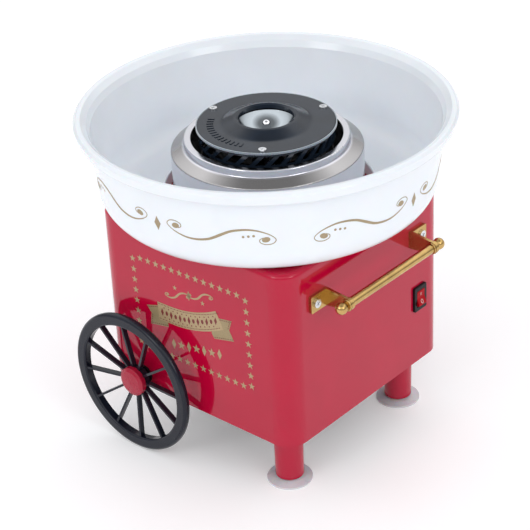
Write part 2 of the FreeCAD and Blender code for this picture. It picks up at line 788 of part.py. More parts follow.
def build_bowl():
    """Deep catch bowl with a rolled lip and a collar round its hole; it lies on the casing's
    roof and lifts off."""
    body = new_body("catch_bowl")
    wall = size("bowl_wall")
    floor = size("bowl_floor")
    hole = size("bowl_hole")
    waist = size("bowl_waist")
    rim = size("bowl_rim_radius")
    top = size("bowl_top")
    collar = size("bowl_collar")
    revolve(body, [
        (hole, floor), (waist - 1.2, floor), (waist + 1.9, top - 40), (rim - 9.6, top - 10),
        (rim - 1.9, top - 9.2), (rim, top - 2.4), (rim - 2.2, top), (rim - 5.5, top - 0.4),
        (rim - 9.5, top - 4.2), (rim - 11.9, top - 9), (waist - 0.6, top - 40),
        (waist - 3.8, floor + wall), (hole + wall, floor + wall), (hole + wall, collar),
        (hole, collar)])
    round_edges(body, ring_edges(body, [(waist - 1.2, floor)]), 20)
    round_edges(body, ring_edges(body, [(waist - 3.8, floor + wall)]), 17.6)
    round_edges(body, ring_edges(body, [(hole, collar), (hole + wall, collar)]), 1.1)
    round_edges(body, ring_edges(body, [(hole + wall, floor + wall)]), 3)
    round_edges(body, ring_edges(body, [(rim, top - 2.4), (rim - 2.2, top)]), 1.2)
    round_edges(body, ring_edges(body, [(rim - 1.9, top - 9.2), (rim - 5.5, top - 0.4)]), 0.9)
    round_edges(body, ring_edges(body, [(rim - 9.6, top - 10)]), 1.2)
    return body


def build_guard():
    """Spun sheet-metal guard that stands on the roof round the head."""
    body = new_body("heat_guard")
    sheet_thick = size("guard_sheet")
    radius = size("guard_radius")
    base = size("shell_top")
    shoulder = size("guard_shoulder")
    neck = size("guard_neck")
    top = size("guard_top")
    mouth = size("guard_mouth")
    revolve(body, [
        (size("guard_flange"), base), (radius, base), (radius, shoulder), (neck, shoulder + 4.2),
        (neck - 0.4, top), (mouth, top), (mouth, top - 2.6), (mouth + sheet_thick, top - 2.6),
        (mouth + sheet_thick, top - sheet_thick), (neck - 0.4 - sheet_thick, top - sheet_thick),
        (neck - sheet_thick, shoulder + 3.6), (radius - sheet_thick, shoulder - 0.6),
        (radius - sheet_thick, base + sheet_thick), (size("guard_flange"), base + sheet_thick)])
    round_edges(body, ring_edges(body, [(radius, shoulder), (neck - 0.4, top)]), 0.9)
    round_edges(body, ring_edges(body, [(mouth, top), (neck, shoulder + 4.2)]), 0.6)
    sketch = sketch_on(body, "XY", base)
    for x, y, _ in ring_spots(size("standoff_circle"), 0, STANDOFF_COUNT, GUARD_SCREW_START):
        circle(sketch, x, y, 2.1)
    pocket(body, sketch, 5, reverse=True)
    return body


# ---------------------------------------------------------------- motor and heater

def build_motor():
    """Brushed motor hung on rubber under a carrier plate, below the roof."""
    top = size("motor_top")
    bottom = size("motor_bottom")
    radius = size("motor_radius")
    shaft_hole = size("shaft_radius") + size("running_gap")
    wall = 1.5
    cap = 5
    can = new_body("motor_can")
    revolve(can, [(7, top - cap), (radius - wall, top - cap), (radius - wall, bottom + 3),
                  (radius, bottom + 3), (radius, top), (7, top)])
    sketch = sketch_on(can, "XY", top)
    for x, y, _ in ring_spots(size("mount_circle"), 0, 3, 90):
        circle(sketch, x, y, 2.05)
    pocket(can, sketch, cap + 1)
    end = new_body("motor_end_cap")
    spigot = radius - wall - 0.1
    revolve(end, [(7, bottom), (radius, bottom), (radius, bottom + 3), (spigot, bottom + 3),
                  (spigot, bottom + 5), (7, bottom + 5)])
    sketch = sketch_on(end, "XY", bottom)
    for x, y, _ in ring_spots(20, 0, 6, 0):
        circle(sketch, x, y, 3)
    pocket(end, sketch, 8, reverse=True)
    for name, level, height in (("upper", top - cap, 5), ("lower", bottom, 5)):
        bush = tube("motor_bush_" + name, 7, shaft_hole, height, (0, 0, level))
        finish("motor_bush_" + name, bush)
    ring = tube("magnet_ring", radius - wall - 0.1, 20, 34, (0, 0, bottom + 13))
    gap = block("magnet_gap", (14, 80, 40), (-7, -40, bottom + 10))
    finish("field_magnets", cut("magnets", ring, gap))

    level = size("plate_level")
    thick = size("plate_thick")
    plate = new_body("motor_plate")
    sketch = sketch_on(plate, "XY", level)
    circle(sketch, 0, 0, size("plate_radius"))
    pad(plate, sketch, thick)
    sketch = sketch_on(plate, "XY", level)
    circle(sketch, 0, 0, 9)
    for x, y, _ in ring_spots(size("mount_circle"), 0, 3, 90):
        circle(sketch, x, y, 2.1)
    for x, y, _ in ring_spots(size("standoff_circle"), 0, STANDOFF_COUNT, GUARD_SCREW_START):
        circle(sketch, x, y, 2.1)
    for x, y, _ in ring_spots(44, 0, 3, 90):
        circle(sketch, x, y, 9)
    pocket(plate, sketch, 5, reverse=True)
    mounts = [tube("rubber_mount", 5.5, 2.1, level - top, spot)
              for spot in ring_spots(size("mount_circle"), top, 3, 90)]
    finish("rubber_mounts", group("rubber_mount_set", mounts))
    screws = [cross_screw("motor_screw", 3.6, 2.2, 2, 11, spot, (0, 0, 1))
              for spot in ring_spots(size("mount_circle"), level + thick, 3, 90)]
    finish("motor_screws", group("motor_screw_set", screws))
    roof = size("shell_top") - size("shell_wall")
    posts = [tube("standoff", 5, 2.05, roof - level - thick, spot)
             for spot in ring_spots(size("standoff_circle"), level + thick, STANDOFF_COUNT,
                                    GUARD_SCREW_START)]
    finish("motor_standoffs", group("standoff_set", posts))
    screws = [cross_screw("plate_screw", 3.6, 2.2, 2, 7, spot, (0, 0, -1))
              for spot in ring_spots(size("standoff_circle"), level, STANDOFF_COUNT,
                                     GUARD_SCREW_START)]
    finish("plate_screws", group("plate_screw_set", screws))
    guard_top = size("shell_top") + size("guard_sheet")
    screws = [cross_screw("guard_screw", 3.6, 2.0, 2, 9, spot, (0, 0, 1))
              for spot in ring_spots(size("standoff_circle"), guard_top, STANDOFF_COUNT,
                                     GUARD_SCREW_START)]
    finish("guard_screws", group("guard_screw_set", screws))


def build_heater():
    """Ring heater on ceramic posts over a reflector pan, with a thermal fuse below."""
    level = size("heater_level")
    radius = size("heater_tube")
    ring = doc.addObject("Part::Torus", "heater_ring")
    bind(ring, "Radius1", size("heater_circle"))
    bind(ring, "Radius2", radius)
    ring.Angle3 = 330
    ring.Placement = FreeCAD.Placement(FreeCAD.Vector(0, 0, float(level)),
                                       FreeCAD.Rotation(FreeCAD.Vector(0, 0, 1), 285))
    ring.setExpression("Placement.Base.z", level.formula)
    drop = 19
    leads = []
    for angle in (285, 255):
        x = float(size("heater_circle")) * math.cos(math.radians(angle))
        y = float(size("heater_circle")) * math.sin(math.radians(angle))
        leads.append(cylinder("heater_lead", radius, drop, (x, y, level - drop)))
        ball = doc.addObject("Part::Sphere", "heater_bend")
        bind(ball, "Radius", radius)
        ball.Placement.Base = FreeCAD.Vector(x, y, float(level))
        ball.setExpression("Placement.Base.z", level.formula)
        leads.append(ball)
    finish("heater_element", fuse("heater_whole", ring, *leads))

    pan_level = size("reflector_level")
    pan = new_body("heat_reflector")
    revolve(pan, [(12, pan_level), (44, pan_level), (48, pan_level + 8), (48.8, pan_level + 8),
                  (44.6, pan_level - 0.8), (12, pan_level - 0.8)])
    sketch = sketch_on(pan, "XY", pan_level)
    for x, y, _ in ring_spots(size("heater_circle"), 0, 2, 255)[:1]:
        circle(sketch, x, y, 4)
    for x, y, _ in ring_spots(size("heater_circle"), 0, 2, 285)[:1]:
        circle(sketch, x, y, 4)
    pocket(pan, sketch, 2)
    posts = [cylinder("ceramic_post", 3, level - radius - pan_level - 0.05, spot)
             for spot in ring_spots(size("heater_circle"), pan_level, 3, 30)]
    finish("ceramic_posts", group("ceramic_post_set", posts))
    carrier = size("plate_level") + size("plate_thick")
    rods = [cylinder("pan_rod", 2.5, pan_level - 0.8 - carrier, spot)
            for spot in ring_spots(30, carrier, 3, 30)]
    finish("reflector_rods", group("pan_rod_set", rods))
    finish("thermal_fuse", cylinder("fuse_barrel", 2, 12, (-28, 6, pan_level - 2.8), (0, -1, 0)))


# ---------------------------------------------------------------- spinning head

HEAD_SCREW_START = 97.3
HEAD_SCREW_COUNT = 3


def build_drive():
    """Shaft with its armature, commutator and fan, and the hub that carries the head."""
    radius = size("shaft_radius")
    bottom = size("motor_bottom")
    seat = size("louvre_bottom") + 0.7
    shaft = new_body("drive_shaft")
    revolve(shaft, [(0, bottom - 14), (radius, bottom - 14), (radius, seat),
                    (size("thread_radius"), seat), (size("thread_radius"), seat + 9), (0, seat + 9)])
    finish("motor_armature", tube("armature", 18.5, radius, 34, (0, 0, bottom + 13)))
    finish("commutator", tube("commutator", 8.5, radius, 6, (0, 0, bottom + 6)))

    fan = new_body("cooling_fan")
    sketch = sketch_on(fan, "XY", bottom - 12)
    circle(sketch, 0, 0, 9)
    circle(sketch, 0, 0, radius)
    pad(fan, sketch, 9)
    sketch = sketch_on(fan, "XY", bottom - 12)
    outline(sketch, [(8.4, -0.8), (26, 3.4), (26, 5.0), (8.4, 0.8)])
    blade = pad(fan, sketch, 8)
    around(fan, blade, 7)

    hub = new_body("head_hub")
    revolve(hub, [(radius, seat - 15), (6, seat - 15), (6, seat - 5), (10, seat - 3), (10, seat),
                  (radius, seat)])
    return shaft


def hollow_cup(body, foot, rim, radius):
    """Cut a round hollow, seen in section as an arc of the given radius from foot to rim."""
    sketch = sketch_on(body, "XZ")
    low = FreeCAD.Vector(float(foot[0]), float(foot[1]), 0)
    high = FreeCAD.Vector(float(rim[0]), float(rim[1]), 0)
    chord = high - low
    outward = FreeCAD.Vector(chord.y, -chord.x, 0).normalize()
    sag = radius - math.sqrt(radius ** 2 - chord.Length ** 2 / 4)
    arc = sketch.addGeometry(Part.Arc(low, low + chord * 0.5 + outward * sag, high))
    line = sketch.addGeometry(Part.LineSegment(high, low))
    sketch.addConstraint(Sketcher.Constraint("Coincident", arc, 2, line, 1))
    sketch.addConstraint(Sketcher.Constraint("Coincident", arc, 1, line, 2))
    pin_point(sketch, line, 2, *foot)
    pin_point(sketch, line, 1, *rim)
    constrain(sketch, "Radius", arc, radius)
    groove = body.newObject("PartDesign::Groove", "Groove")
    groove.Profile = sketch
    groove.ReferenceAxis = (sketch, ["V_Axis"])
    groove.Angle = 360
    body.Tip = groove
    doc.recompute()


def build_head():
    """Sugar dish, slotted louvre ring and black cover, turning together."""
    top = size("head_top")
    under = top - size("cover_thick")
    thick = size("dish_sheet")
    seat = size("louvre_bottom") + 0.7
    radius = size("head_radius")
    dish = new_body("sugar_dish")
    bore = size("thread_radius") + 0.05
    # a round cup for the sugar, a fold at its rim, then a trough that rises to the flange
    cup_foot = (7.2, seat + thick)
    cup_rim = (21.9, seat + 11.5)
    revolve(dish, [
        (bore, seat), (7.6, seat), (10.4, seat + 0.9), (13.5, seat + 2.5), (16.6, seat + 4.7),
        (19.6, seat + 7.5), (22.4, seat + 10.7), (24.6, seat + 3.9), (27.8, seat + 2.6),
        (39.8, seat + 4.5), (43, under - thick), (radius, under - thick), (radius, top - 0.1),
        (radius - 0.8, top - 0.1), (radius - 0.8, under), (42.4, under), (39.3, seat + 5.1),
        (28, seat + 3.2), (25.2, seat + 4.4), (23, seat + 11.5), cup_rim, cup_foot,
        (bore, seat + thick)])
    hollow_cup(dish, cup_foot, cup_rim, 26.1)

    ring = new_body("louvre_ring")
    outer = size("louvre_radius")
    low = size("louvre_bottom")
    shelf = under - thick - 0.1
    revolve(ring, [(outer - 6, shelf - 2), (outer - 1.8, shelf - 2), (outer - 1.8, low),
                   (outer, low), (outer, shelf), (outer - 6, shelf)])
    sketch = sketch_on(ring, "XZ")
    lean = -3.7
    half = 3.6
    outline(sketch, [(-half - lean, low + 1.3), (half - lean, low + 1.3),
                     (half + lean, shelf - 2.2), (-half + lean, shelf - 2.2)])
    slot = pocket(ring, sketch, outer + 5)
    around(ring, slot, size("louvre_count"))

    cover = new_body("head_cover")
    mouth = size("funnel_mouth")
    lip = size("funnel_lip")
    foot = size("cone_foot")
    rim = radius - 0.9
    revolve(cover, [
        (mouth - 0.2, lip - 3.6), (mouth - 0.1, lip - 0.9), (mouth + 1.6, lip),
        (mouth + 3.4, lip - 0.5), (foot, top), (rim, top), (rim, under), (foot - 1, under),
        (mouth + 3.6, lip - 1.9), (mouth + 0.9, lip - 1.9), (mouth + 0.8, lip - 3.6)])
    round_edges(cover, ring_edges(cover, [(foot, top)]), 8)
    round_edges(cover, ring_edges(cover, [(mouth + 3.4, lip - 0.5)]), 1.6)
    round_edges(cover, ring_edges(cover, [(mouth + 1.6, lip), (rim, top)]), 0.5)
    # short radial ribs raised on the flat of the cover, between two of the screws
    rib_count = 15
    for index in range(rib_count):
        sketch = sketch_on(cover, "XY", top - 0.2)
        angle = HEAD_SCREW_START + 22 + 76 * index / (rib_count - 1)
        corners = []
        for reach, half in ((38.6, -0.55), (43.6, -0.75), (43.6, 0.75), (38.6, 0.55)):
            c = math.cos(math.radians(angle))
            s = math.sin(math.radians(angle))
            corners.append((reach * c - half * s, reach * s + half * c))
        outline(sketch, corners)
        pad(cover, sketch, 0.65)

    spots = ring_spots(size("screw_circle"), top, HEAD_SCREW_COUNT, HEAD_SCREW_START)
    sketch = sketch_on(cover, "XY", top)
    for x, y, _ in spots:
        circle(sketch, x, y, 1.55)
    pocket(cover, sketch, 4)
    sketch = sketch_on(dish, "XY", top)
    for x, y, _ in spots:
        circle(sketch, x, y, 1.55)
    pocket(dish, sketch, 4)
    sketch = sketch_on(ring, "XY", top)
    for x, y, _ in spots:
        circle(sketch, x, y, 1.5)
    pocket(ring, sketch, 6)
    screws = [cross_screw("cover_screw", 2.9, 1.1, 1.45, 4.6, spot, (0, 0, 1)) for spot in spots]
    finish("cover_screws", group("cover_screw_set", screws))

    nut_base = seat + thick
    flange = cylinder("nut_flange", 6.4, 0.9, (0, 0, nut_base))
    prism = doc.addObject("Part::Prism", "nut_hex")
    prism.Polygon = 6
    prism.Circumradius = 4.9
    prism.Height = 4.4
    prism.Placement.Base = FreeCAD.Vector(0, 0, float(nut_base))
    prism.setExpression("Placement.Base.z", nut_base.formula)
    neck_radius = 3.4
    crown = nut_base + 9.6
    neck = cylinder("nut_neck", neck_radius, crown - nut_base - 4.4, (0, 0, nut_base + 4.4))
    dome = doc.addObject("Part::Sphere", "nut_dome")
    dome.Radius = neck_radius
    dome.Angle1 = 0
    dome.Placement.Base = FreeCAD.Vector(0, 0, float(crown))
    dome.setExpression("Placement.Base.z", crown.formula)
    whole = fuse("nut_whole", flange, prism, neck, dome)
    thread = cylinder("nut_thread", size("thread_radius") + 0.05, 9, (0, 0, nut_base))
    finish("dome_nut", cut("nut_cut", whole, thread))


# ---------------------------------------------------------------- build and write

build_shell()
build_floor()
build_legs()
build_casing_screws()
build_gland()
build_terminal_block()
build_handle()
build_switch()
build_wheels()
build_bowl()
build_guard()
build_motor()
build_heater()
build_drive()
build_head()
doc.recompute()

for item in doc.Objects:
    if "Invalid" in item.State or "Error" in item.State:
        raise RuntimeError("%s failed: %s" % (item.Label, item.State))
os.makedirs("parts", exist_ok=True)
for piece in finished:
    shape = piece.Shape
    if shape.isNull() or not shape.isValid() or not shape.Solids:
        raise RuntimeError("%s has no valid solid" % piece.Label)
for piece in finished:
    piece.Shape.exportStep("parts/%s.step" % piece.Label)
print("wrote %d sub-parts" % len(finished))
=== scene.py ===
import json
import math

import bmesh
import bpy
from mathutils import Matrix, Vector
from mathutils.bvhtree import BVHTree


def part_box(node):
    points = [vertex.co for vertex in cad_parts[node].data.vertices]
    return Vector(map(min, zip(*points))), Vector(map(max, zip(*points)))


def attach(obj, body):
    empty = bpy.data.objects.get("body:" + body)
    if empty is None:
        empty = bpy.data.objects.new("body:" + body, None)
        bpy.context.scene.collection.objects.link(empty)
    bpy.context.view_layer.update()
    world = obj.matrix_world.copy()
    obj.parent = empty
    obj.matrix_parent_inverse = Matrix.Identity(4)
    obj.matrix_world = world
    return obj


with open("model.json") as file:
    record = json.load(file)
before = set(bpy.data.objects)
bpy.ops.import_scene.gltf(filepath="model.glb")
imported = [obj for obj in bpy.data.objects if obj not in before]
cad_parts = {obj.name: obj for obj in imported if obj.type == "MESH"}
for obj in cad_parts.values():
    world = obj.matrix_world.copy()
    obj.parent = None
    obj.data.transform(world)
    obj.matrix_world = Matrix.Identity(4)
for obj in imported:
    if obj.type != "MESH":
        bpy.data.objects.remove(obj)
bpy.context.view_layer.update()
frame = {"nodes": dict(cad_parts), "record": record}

NODES = frame["nodes"]
MM = 0.001


# ---------------------------------------------------------------- materials

class Finish:
    """One Principled material. Its patterns are procedural, in metres of the object's own space."""

    def __init__(self, name, roughness, metallic=0.0, **sockets):
        self.material = bpy.data.materials.new(name)
        self.material.use_nodes = True
        self.tree = self.material.node_tree
        self.shader = self.tree.nodes["Principled BSDF"]
        self.shader.inputs["Roughness"].default_value = roughness
        self.shader.inputs["Metallic"].default_value = metallic
        for socket, value in sockets.items():
            self.shader.inputs[socket.replace("_", " ")].default_value = value
        self.place = self.node("ShaderNodeTexCoord").outputs["Object"]

    def node(self, kind, **settings):
        made = self.tree.nodes.new(kind)
        for key, value in settings.items():
            setattr(made, key, value)
        return made

    def feed(self, made, **inputs):
        """Give a node's inputs a value, or the socket that drives them."""
        for key, value in inputs.items():
            socket = made.inputs[key.replace("_", " ")]
            if isinstance(value, bpy.types.NodeSocket):
                self.tree.links.new(value, socket)
            else:
                socket.default_value = value
        return made

    def stretched(self, x, y, z):
        """The place, scaled by a factor along each axis."""
        made = self.feed(self.node("ShaderNodeMapping"), Vector=self.place, Scale=(x, y, z))
        return made.outputs["Vector"]

    def turned(self):
        """The place as (distance from the upright axis, height, 0), for marks left by a lathe."""
        split = self.feed(self.node("ShaderNodeSeparateXYZ"), Vector=self.place)
        across = self.feed(self.node("ShaderNodeCombineXYZ"), X=split.outputs["X"],
                           Y=split.outputs["Y"])
        length = self.feed(self.node("ShaderNodeVectorMath", operation="LENGTH"),
                           Vector=across.outputs[0])
        made = self.feed(self.node("ShaderNodeCombineXYZ"), X=length.outputs["Value"],
                         Y=split.outputs["Z"])
        return made.outputs["Vector"]

    def noise(self, scale, detail=3.0, where=None, distortion=0.0):
        made = self.feed(self.node("ShaderNodeTexNoise"), Vector=where or self.place, Scale=scale,
                         Detail=detail, Distortion=distortion)
        return made.outputs["Fac"]

    def spread(self, value, low, high, start=0.3, end=0.7):
        """From low to high, as value goes from start to end."""
        made = self.feed(self.node("ShaderNodeMapRange"), Value=value, **{
            "From_Min": start, "From_Max": end, "To_Min": low, "To_Max": high})
        return made.outputs["Result"]

    def both(self, operation, first, second):
        """The outcome of an operation on two values."""
        made = self.node("ShaderNodeMath", operation=operation)
        self.tree.links.new(first, made.inputs[0])
        self.tree.links.new(second, made.inputs[1])
        return made.outputs[0]

    def colour(self, value, dark, light, start=0.3, end=0.7, middle=None):
        """Base colour between two tones, as value goes from start to end, by way of a middle one."""
        ramp = self.node("ShaderNodeValToRGB")
        ramp.color_ramp.elements[0].position = start
        ramp.color_ramp.elements[1].position = end
        ramp.color_ramp.elements[0].color = (*dark, 1)
        ramp.color_ramp.elements[1].color = (*light, 1)
        if middle:
            ramp.color_ramp.elements.new((start + end) / 2).color = (*middle, 1)
        self.feed(ramp, Fac=value)
        self.feed(self.shader, Base_Color=ramp.outputs["Color"])

    def rough(self, value, low, high):
        self.feed(self.shader, Roughness=self.spread(value, low, high))

    def relief(self, *layers):
        """Bump from (height, depth in metres) layers, one on the other."""
        normal = None
        for height, depth in layers:
            bump = self.feed(self.node("ShaderNodeBump"), Height=height, Distance=depth, Strength=1.0)
            if normal is not None:
                self.feed(bump, Normal=normal)
            normal = bump.outputs["Normal"]
        self.feed(self.shader, Normal=normal)


def tones(colour, share):
    """A darker and a lighter tone of a colour."""
    return tuple(c * (1 - share) for c in colour), tuple(min(1.0, c * (1 + share)) for c in colour)


def moulded(name, colour, roughness, tone=0.05, cloud=28, grain=1600, depth=0.00001, **sockets):
    """Injection-moulded plastic: faint flow clouds, a fine tool grain and uneven gloss."""
    made = Finish(name, roughness, **sockets)
    made.colour(made.noise(cloud, 4, distortion=0.6), *tones(colour, tone))
    made.rough(made.noise(cloud * 3, 5), roughness * 0.75, roughness * 1.3)
    made.relief((made.noise(grain, 2), depth), (made.noise(cloud * 4, 2), depth * 4))
    return made.material


LATHE_LINES = 2200


def turned_metal(name, colour, roughness, tone):
    """Metal spun on a lathe: fine rings round the upright axis, over slow clouds."""
    made = Finish(name, roughness, metallic=1.0)
    rings = made.noise(LATHE_LINES, 4, where=made.turned())
    made.colour(made.noise(26, 4), *tones(colour, tone))
    made.rough(rings, roughness * 0.7, roughness * 1.45)
    made.relief((rings, 0.000004), (made.noise(30, 2), 0.00008))
    return made.material


def brushed_metal(name, colour, roughness, tone=0.08, along=(40, 1800, 1800)):
    """Metal with fine brush lines, and a slow change of tone as it tarnishes."""
    made = Finish(name, roughness, metallic=1.0)
    lines = made.noise(1.0, 4, where=made.stretched(*along))
    made.colour(made.noise(90, 5, distortion=0.4), *tones(colour, tone))
    made.rough(lines, roughness * 0.7, roughness * 1.4)
    made.relief((lines, 0.000004))
    return made.material


def printed(name, colour, roughness=0.38, metallic=0.25):
    """Screen-printed ink with fine flakes and an uneven edge-to-edge cover."""
    made = Finish(name, roughness, metallic=metallic)
    made.colour(made.noise(900, 3), *tones(colour, 0.13), start=0.25, end=0.75)
    made.rough(made.noise(260, 4), roughness * 0.8, roughness * 1.25)
    made.relief((made.noise(2400, 2), 0.000008))
    return made.material


# finishes by material slot
FINISHES = {
    "red_casing": moulded("casing_red", (0.445, 0.001, 0.030), 0.05, tone=0.04, grain=500,
                          depth=0.000002, Specular_IOR_Level=0.42),
    "white_bowl": moulded("bowl_white", (0.81, 0.85, 0.895), 0.14, tone=0.015, grain=700,
                          depth=0.000003, Subsurface_Weight=0.12, Subsurface_Scale=0.003),
    "black_wheel": moulded("wheel_black", (0.009, 0.011, 0.020), 0.16, tone=0.12, depth=0.000008,
                           Specular_IOR_Level=0.29),
    "red_cap": moulded("cap_red", (0.37, 0.006, 0.032), 0.26, tone=0.06, depth=0.000008,
                       Specular_IOR_Level=0.40),
    "brass": brushed_metal("brass", (0.53, 0.35, 0.13), 0.20, tone=0.14),
    "polished_metal": turned_metal("polished", (0.82, 0.83, 0.86), 0.09, tone=0.03),
    "black_cover": moulded("cover_black", (0.010, 0.016, 0.027), 0.17, tone=0.25, cloud=60,
                           grain=1300, depth=0.000008, Specular_IOR_Level=0.34),
    "black_plastic": moulded("plastic_black", (0.010, 0.006, 0.008), 0.20, tone=0.2,
                             Specular_IOR_Level=0.16),
    "rocker_red": moulded("rocker_red", (0.38, 0.002, 0.008), 0.14, tone=0.05,
                          Specular_IOR_Level=0.07),
    "clear_rubber": moulded("rubber_milky", (0.60, 0.59, 0.63), 0.30, tone=0.05, depth=0.00001,
                            Subsurface_Weight=0.5, Subsurface_Scale=0.004),
    "black_rubber": moulded("rubber_black", (0.018, 0.018, 0.019), 0.62, tone=0.2, depth=0.00003),
    "steel": brushed_metal("steel", (0.56, 0.56, 0.58), 0.28),
    "screw_steel": brushed_metal("screw_zinc", (0.70, 0.71, 0.73), 0.20, along=(1500, 1500, 1500)),
    "ceramic": moulded("ceramic", (0.14, 0.13, 0.12), 0.7, tone=0.2, depth=0.00004),
    "magnet": moulded("ferrite", (0.045, 0.045, 0.048), 0.55, tone=0.3, depth=0.00004),
    "copper": brushed_metal("copper", (0.72, 0.36, 0.20), 0.22),
}

# painted shade: the near-black colour given to spun metal inside the head, where shade falls
PAINTED_SHADE = (0.016, 0.013, 0.012)
# painted reflection: a darker grey band on the guard's shoulder, standing in for the dim ceiling
# reflected there, and the soft edge of that band
PAINTED_REFLECTION_GREY = (0.40, 0.39, 0.39)
REFLECTION_BAND_EDGE = 0.0008


def spun_with_painted_shade(name, colour, roughness, reach, level, reflection_band=(0.0, 0.0)):
    """Spun metal with painted shade: it is made near black inside the head, where shade falls, where
    both the distance from the axis and the height are past the second number of their pair; the metal
    is clean short of the first. Between the two heights of reflection_band it is a darker grey, a
    painted reflection of the dim ceiling on the guard's shoulder."""
    made = Finish(name, roughness, metallic=1.0)
    rings = made.noise(LATHE_LINES, 4, where=made.turned())
    split = made.feed(made.node("ShaderNodeSeparateXYZ"), Vector=made.turned())
    away, height = split.outputs["X"], split.outputs["Y"]
    low, high = reflection_band
    # painted shade mask: near black inside the head, set by distance from the axis and by height
    shade_mask = made.both("MULTIPLY", made.spread(away, 0.0, 1.0, *reach),
                     made.spread(height, 0.0, 1.0, *level))
    # painted reflection mask: a darker grey band on the guard's shoulder between the two heights
    reflection_mask = made.both("MULTIPLY", made.spread(height, 0.0, 0.5, low, low + REFLECTION_BAND_EDGE),
                     made.spread(height, 1.0, 0.0, high, high + REFLECTION_BAND_EDGE))
    made.colour(made.both("MAXIMUM", shade_mask, reflection_mask), colour, PAINTED_SHADE, start=0.1, end=0.9,
                middle=PAINTED_REFLECTION_GREY)
    made.rough(made.spread(shade_mask, 0.3, 0.7, 0.0, 1.0), roughness, 0.42)
    made.relief((rings, 0.000003), (made.noise(30, 2), 0.00006))
    return made.material


PANEL_INK = printed("ink_gold", (0.42, 0.31, 0.17))
TAIL_INK = printed("ink_dark_gold", (0.33, 0.25, 0.13))
SEAM_INK = printed("ink_red", (0.16, 0.008, 0.010), metallic=0.0)
BOWL_INK = printed("ink_bowl_gold", (0.36, 0.28, 0.17))
MARK_INK = printed("ink_white", (0.62, 0.60, 0.58), metallic=0.0)

# parts with a finish of their own: hot metal inside the head, made near black as painted shade, and
# spun metal with painted shade inside the head and a painted reflection on the guard's shoulder
HEAD_INSIDE_SHADE = brushed_metal("painted_shade_head_inside", (0.045, 0.042, 0.044), 0.42)
OWN_FINISHES = {
    "sugar_dish": spun_with_painted_shade("dish_polished", (0.40, 0.44, 0.47), 0.13,
                          reach=(0.0232, 0.0262), level=(0.2476, 0.2468)),
    "heat_guard": spun_with_painted_shade("guard_spun", (0.66, 0.66, 0.70), 0.15,
                          reach=(0.0610, 0.0604), level=(0.2394, 0.2386), reflection_band=(0.2292, 0.2338)),
    "heater_element": HEAD_INSIDE_SHADE,
    "heat_reflector": HEAD_INSIDE_SHADE,
    "reflector_rods": HEAD_INSIDE_SHADE,
    "thermal_fuse": HEAD_INSIDE_SHADE,
}

for part in frame["record"]["subparts"]:
    slots = NODES[part["node"]].data.materials
    slots.clear()
    slots.append(OWN_FINISHES.get(part["node"]) or FINISHES[part["material_slot"]])


# ---------------------------------------------------------------- surfaces that carry print

class Face:
    """The skin of a CAD node, found by looking at it along a line."""

    def __init__(self, node):
        mesh = NODES[node].data
        self.tree = BVHTree.FromPolygons([v.co for v in mesh.vertices],
                                         [p.vertices for p in mesh.polygons])

    def meet(self, start, direction):
        spot, normal, _, _ = self.tree.ray_cast(Vector(start), Vector(direction))
        if normal.dot(Vector(direction)) > 0:
            normal = -normal
        return spot, normal


def on_side(side, tilt=0.024, centre=124.0):
    """Layout of a casing side: u to the right and v up as one faces it, in mm.

    The print sits a little askew: it is turned by tilt radians about a point on the middle line.
    """
    shell = Face("body_shell")

    def put(u, v, height):
        across = u - tilt * (v - centre)
        level = v + tilt * u
        spot, normal = shell.meet((side * 0.3, side * across * MM, level * MM), (-side, 0, 0))
        return spot + normal * height * MM
    return put


def on_rocker():
    """Layout of the rocker's face: u to the right and v up from its middle, in mm."""
    face = Face("switch_rocker")
    low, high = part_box("switch_rocker")
    across, level = (low[0] + high[0]) / 2, (low[2] + high[2]) / 2

    def put(u, v, height):
        spot, normal = face.meet((across + u * MM, -0.3, level + v * MM), (0, 1, 0))
        return spot + normal * height * MM
    return put


def on_bowl(middle, level, mirror=1):
    """Layout on the bowl's outer wall, in mm: u round it from an angle in degrees, and v up from a
    level."""
    wall = Face("catch_bowl")
    radius = wall.meet((0.3, 0, level * MM), (-1, 0, 0))[0].x / MM

    def put(u, v, height):
        angle = math.radians(middle) + mirror * u / radius
        out = Vector((math.cos(angle), math.sin(angle), 0))
        spot, normal = wall.meet(out * 0.3 + Vector((0, 0, (level + v) * MM)), -out)
        return spot + normal * height * MM
    return put


# ---------------------------------------------------------------- print as thin raised layers

# heights over the skin in mm: the tops of plain print, the ribbon's band, its stitches and the
# rocker's marks, and the underside of all of them
INK = 0.12
BAND = 0.16
SEAM = 0.2
MARK = 0.06
SUNK = -0.05


